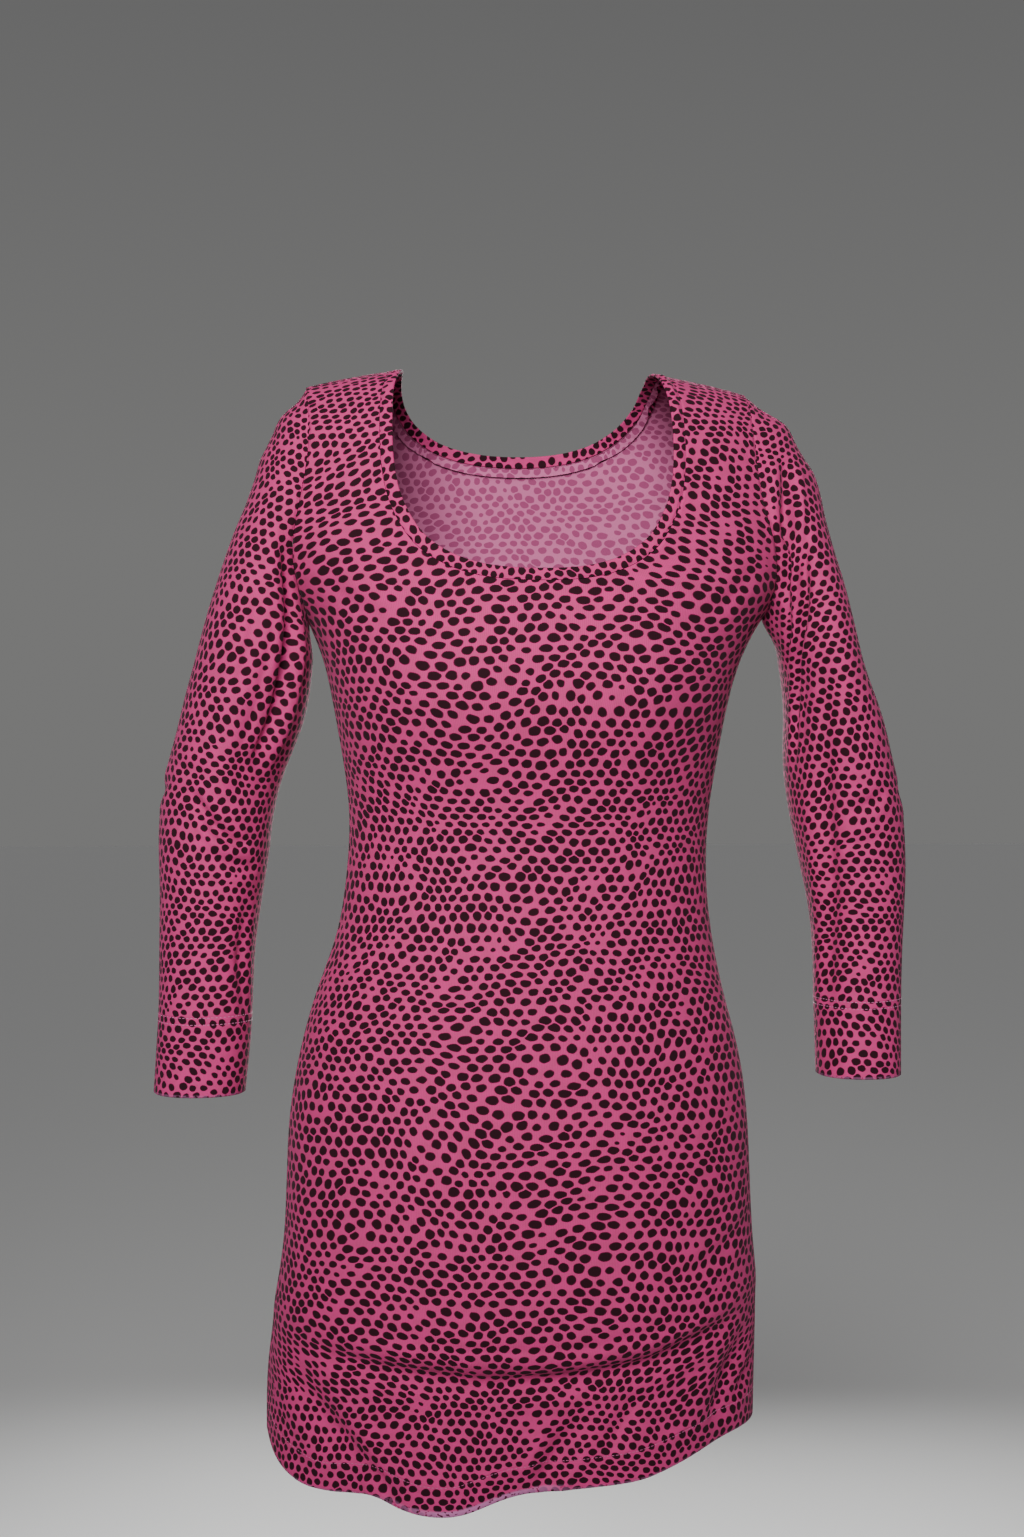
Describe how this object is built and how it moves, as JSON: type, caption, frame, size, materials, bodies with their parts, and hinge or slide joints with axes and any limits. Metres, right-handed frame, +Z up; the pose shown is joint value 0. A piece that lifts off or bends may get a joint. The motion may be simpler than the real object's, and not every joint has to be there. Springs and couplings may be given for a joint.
{
  "type": "long-sleeved jersey sheath dress",
  "caption": "Hollow, close-fitting jersey dress in its worn shape: scoop neck with a narrow binding, long set-in sleeves, shaped waist and a short skirt with a gently waved hem.",
  "frame": {"origin": "midway between the two shoulder seams, at the height at which the shoulders hold the dress up", "axes": "+Z up, the front of the dress faces -Y, +X towards the sleeve that is on the right when the front is looked at"},
  "size_m": [0.5561, 0.2413, 0.8119],
  "materials": {
    "jersey": "soft matt stretch jersey, pink with small dark dots",
    "binding": "folded strip of the same matt jersey"
  },
  "bodies": {
    "root": {"front": "jersey", "back": "jersey", "sleeve_left": "jersey", "sleeve_right": "jersey", "neck_binding": "binding"}
  },
  "joints": []
}
